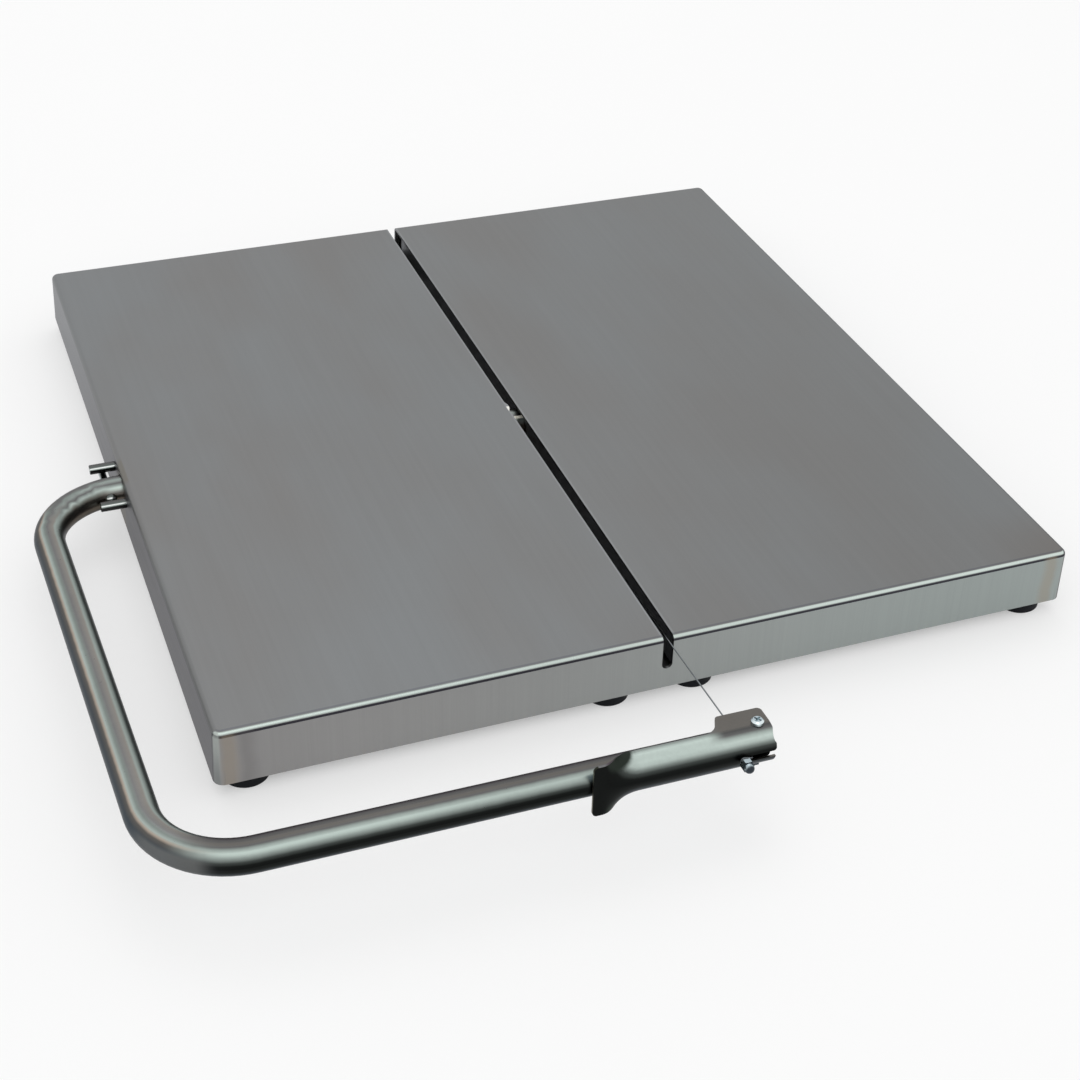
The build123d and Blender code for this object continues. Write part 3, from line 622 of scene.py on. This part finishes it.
# Painted light and shade on the wire: paler on top, darker below, near black inside the slot.
WIRE_SHADE_BELOW = (0.06, 0.068, 0.075)
WIRE_LIGHT_ABOVE = (0.17, 0.185, 0.195)
WIRE_SLOT_SHADE = (0.010, 0.010, 0.011)
WIRE_NZ = (0.2, 0.8)
WIRE_Y = (TABLE_FRONT, TABLE_FRONT + 0.006)


def wire_steel():
    """Drawn wire with painted light and shade: grey outside the slot, paler on top and darker below,
    and near black inside the slot.
    """
    s = Shader("wire_steel_finish")
    at = s.spot()
    in_air = s.mix(s.level(at.nz, WIRE_NZ), WIRE_SHADE_BELOW, WIRE_LIGHT_ABOVE)
    colour = s.mix(s.level(at.y, WIRE_Y), in_air, WIRE_SLOT_SHADE)
    colour = s.vary(colour, s.noise((500, 120, 500), detail=3.0), spread=0.25)
    return s.finish(colour, roughness=0.35, metallic=METAL)


# Painted shade on the small parts' front and underside, and a painted highlight on the screw's rim.
SMALL_PART_FRONT_SHADE = (0.022, 0.026, 0.034)
SMALL_PART_UNDERSIDE_SHADE = (0.05, 0.06, 0.07)
SCREW_RIM_HIGHLIGHT = (0.72, 0.80, 0.82)
SMALL_PART_FRONT_NY = (-0.15, -0.6)
SMALL_PART_UNDERSIDE_NZ = (0.35, -0.15)
SCREW_HEAD_STEP_Z = (SCREW_HEAD_Z, SCREW_HEAD_Z + 0.0004)
SCREW_RIM_NZ = (0.97, 0.8)
SCREW_RIM_NY = (0.3, -0.3)


def bright_steel(name, low, high, roughness):
    """Steel of the small parts, with painted shade to the front and below, and a painted highlight on
    the screw's rim.
    """
    s = Shader(name)
    at = s.spot()
    patch = s.noise(260, detail=3.0)
    colour = s.mix(patch, low, high)
    # Painted shade on faces that turn to the front and down, then a painted highlight on the screw
    # head's rim.
    front = s.level(at.ny, SMALL_PART_FRONT_NY)
    colour = s.paint(colour, front, SMALL_PART_FRONT_SHADE, strength=0.96)
    colour = s.mix(s.level(at.nz, SMALL_PART_UNDERSIDE_NZ), colour, SMALL_PART_UNDERSIDE_SHADE)
    rim = s.steps((at.z, SCREW_HEAD_STEP_Z), (at.nz, SCREW_RIM_NZ), (at.ny, SCREW_RIM_NY))
    colour = s.mix(rim, colour, SCREW_RIM_HIGHLIGHT)
    scratches = s.noise((900, 900, 2400), detail=3.0, offset=2.0)
    colour = s.vary(colour, scratches, spread=0.12)
    s.bump(scratches, strength=0.08, distance=0.0001)
    return s.finish(colour, s.scaled(patch, factor=0.2, start=roughness), METAL)


SCUFF_STEP = (0.52, 0.75)
MOULDED_SPECULAR = 0.12


def moulded(name, low, high, roughness, grain_cycles, grain_strength):
    """Black plastic or rubber with a moulded grain and paler scuffs."""
    s = Shader(name)
    grain = s.noise(grain_cycles, detail=4.0)
    scuff = s.noise(70, detail=4.0, offset=3.0, distortion=0.6)
    worn = s.level(scuff, SCUFF_STEP)
    colour = s.vary(s.mix(worn, low, high), grain, spread=0.2)
    s.bump(grain, strength=grain_strength, distance=0.0003)
    s.surface.inputs["Specular IOR Level"].default_value = MOULDED_SPECULAR
    return s.finish(colour, s.scaled(worn, factor=0.12, start=roughness), NO_METAL)


finishes = {
    "sheet_steel": sheet_steel(),
    "rail_steel": rail_steel(),
    "tube_steel": tube_steel(),
    "lever_steel": lever_steel(),
    "rod_steel": rod_steel(),
    "wire_steel": wire_steel(),
    "fastener_steel": bright_steel(
        "fastener_steel_finish",
        low=(0.38, 0.38, 0.39),
        high=(0.52, 0.53, 0.54),
        roughness=0.2,
    ),
    "screw_zinc": bright_steel(
        "screw_zinc_finish",
        low=(0.30, 0.37, 0.40),
        high=(0.50, 0.58, 0.62),
        roughness=0.16,
    ),
    "bearing_plastic": moulded(
        "bearing_plastic_finish",
        low=(0.020, 0.020, 0.021),
        high=(0.05, 0.05, 0.052),
        roughness=0.45,
        grain_cycles=900,
        grain_strength=0.15,
    ),
    "plug_plastic": moulded(
        "plug_plastic_finish",
        low=(0.018, 0.018, 0.018),
        high=(0.045, 0.045, 0.045),
        roughness=0.42,
        grain_cycles=1100,
        grain_strength=0.12,
    ),
    "foot_rubber": moulded(
        "foot_rubber_finish",
        low=(0.004, 0.0048, 0.007),
        high=(0.012, 0.013, 0.016),
        roughness=0.6,
        grain_cycles=700,
        grain_strength=0.22,
    ),
}

for part in frame["record"]["subparts"]:
    piece = frame["nodes"][part["node"]]
    material = finishes[part["material_slot"]]
    for slot in piece.material_slots:
        slot.material = material
    if not piece.material_slots:
        piece.data.materials.append(material)


FLOOR_SIZE = 14.0
FLOOR_DARK = (0.84, 0.84, 0.84)
FLOOR_PALE = (0.86, 0.86, 0.86)
FLOOR_WHITENESS = 0.5
SHADE_STEP = (-0.022, 0.0)


def looked_at(s):
    """1 for rays that look at a surface or its reflection, 0 for rays that gather its light."""
    path = s.node("ShaderNodeLightPath").outputs
    seen_or_mirrored = s.math("MAXIMUM", path["Is Camera Ray"], path["Is Glossy Ray"])
    return s.math("MAXIMUM", seen_or_mirrored, path["Is Transmission Ray"])


def past_middle(s, value, low, high):
    """How far a coordinate lies outside the stretch from low to high; less than 0 inside it."""
    return s.math("SUBTRACT", s.apart(value, (low + high) / 2), (high - low) / 2)


def floor():
    """Plain pale floor, seen nearly white round the table; under the table it keeps its real shade
    and gets none of the white, a painted shadow.
    """
    s = Shader("floor_finish")
    s.finish(s.mix(s.noise(3), FLOOR_DARK, FLOOR_PALE), roughness=0.9, metallic=NO_METAL)
    white = s.node("ShaderNodeEmission", {"Color": WHITE, "Strength": 1.0})
    at = s.spot()
    beside = past_middle(s, at.x, TABLE_LEFT, TABLE_RIGHT)
    before = past_middle(s, at.y, TABLE_FRONT, TABLE_REAR)
    # Painted shadow: the floor under the table gets none of the white.
    lit = s.level(s.math("MAXIMUM", beside, before), SHADE_STEP)
    share = s.product(looked_at(s), lit, FLOOR_WHITENESS)
    paler = s.node("ShaderNodeMixShader", {0: share, 1: s.surface.outputs[0], 2: white.outputs[0]})
    s.feed(s.tree.nodes["Material Output"].inputs["Surface"], paler.outputs[0])
    bpy.ops.mesh.primitive_plane_add(size=FLOOR_SIZE, location=(0, 0, 0))
    plane = bpy.context.object
    plane.name = "floor"
    plane.data.materials.append(s.material)


def world():
    """Plain white surroundings."""
    made = bpy.data.worlds.new("studio")
    bpy.context.scene.world = made
    made.use_nodes = True
    background = made.node_tree.nodes["Background"]
    background.inputs["Color"].default_value = WHITE
    background.inputs["Strength"].default_value = 1.0


def softbox(name, place, target, size, power, colour=(1, 1, 1)):
    """Rectangular area light at place that faces target."""
    lamp = bpy.data.lights.new(name, "AREA")
    lamp.shape = "RECTANGLE"
    lamp.size, lamp.size_y = size
    lamp.energy = power
    lamp.color = colour
    holder = bpy.data.objects.new(name, lamp)
    bpy.context.scene.collection.objects.link(holder)
    holder.location = place
    aim = Vector(target) - Vector(place)
    holder.rotation_euler = aim.to_track_quat("-Z", "Y").to_euler()


# The photograph's view, from the front left and above; lens and sensor in millimetres, and the
# nearest distance and the place in metres.
CAMERA_LENS = 62.14
CAMERA_SENSOR = 36.0
CAMERA_NEAREST = 0.01
CAMERA_PLACE = (-0.306495, -0.812709, 0.607470)
CAMERA_RIGHT = (0.93421, -0.35482, 0.03675)
CAMERA_UP = (0.18045, 0.55895, 0.80933)
CAMERA_BACK = (-0.30771, -0.74946, 0.58620)


def camera():
    """Camera at the photograph's place and angle."""
    lens = bpy.data.cameras.new("camera")
    lens.sensor_fit = "HORIZONTAL"
    lens.sensor_width = CAMERA_SENSOR
    lens.lens = CAMERA_LENS
    lens.clip_start = CAMERA_NEAREST
    holder = bpy.data.objects.new("camera", lens)
    bpy.context.scene.collection.objects.link(holder)
    turn = Matrix((CAMERA_RIGHT, CAMERA_UP, CAMERA_BACK)).transposed().to_4x4()
    holder.matrix_world = Matrix.Translation(CAMERA_PLACE) @ turn
    bpy.context.scene.camera = holder


floor()
world()
softbox(
    "front_softbox",
    place=(-0.35, -1.15, 1.55),
    target=(0, 0, 0),
    size=(1.5, 0.9),
    power=2.5,
    colour=(0.95, 1.0, 0.97),
)
softbox(
    "overhead_softbox",
    place=(0.1, 1.0, 1.9),
    target=(0, 0.05, 0),
    size=(1.4, 1.2),
    power=3.5,
)
camera()

bpy.context.scene.view_settings.view_transform = "Standard"
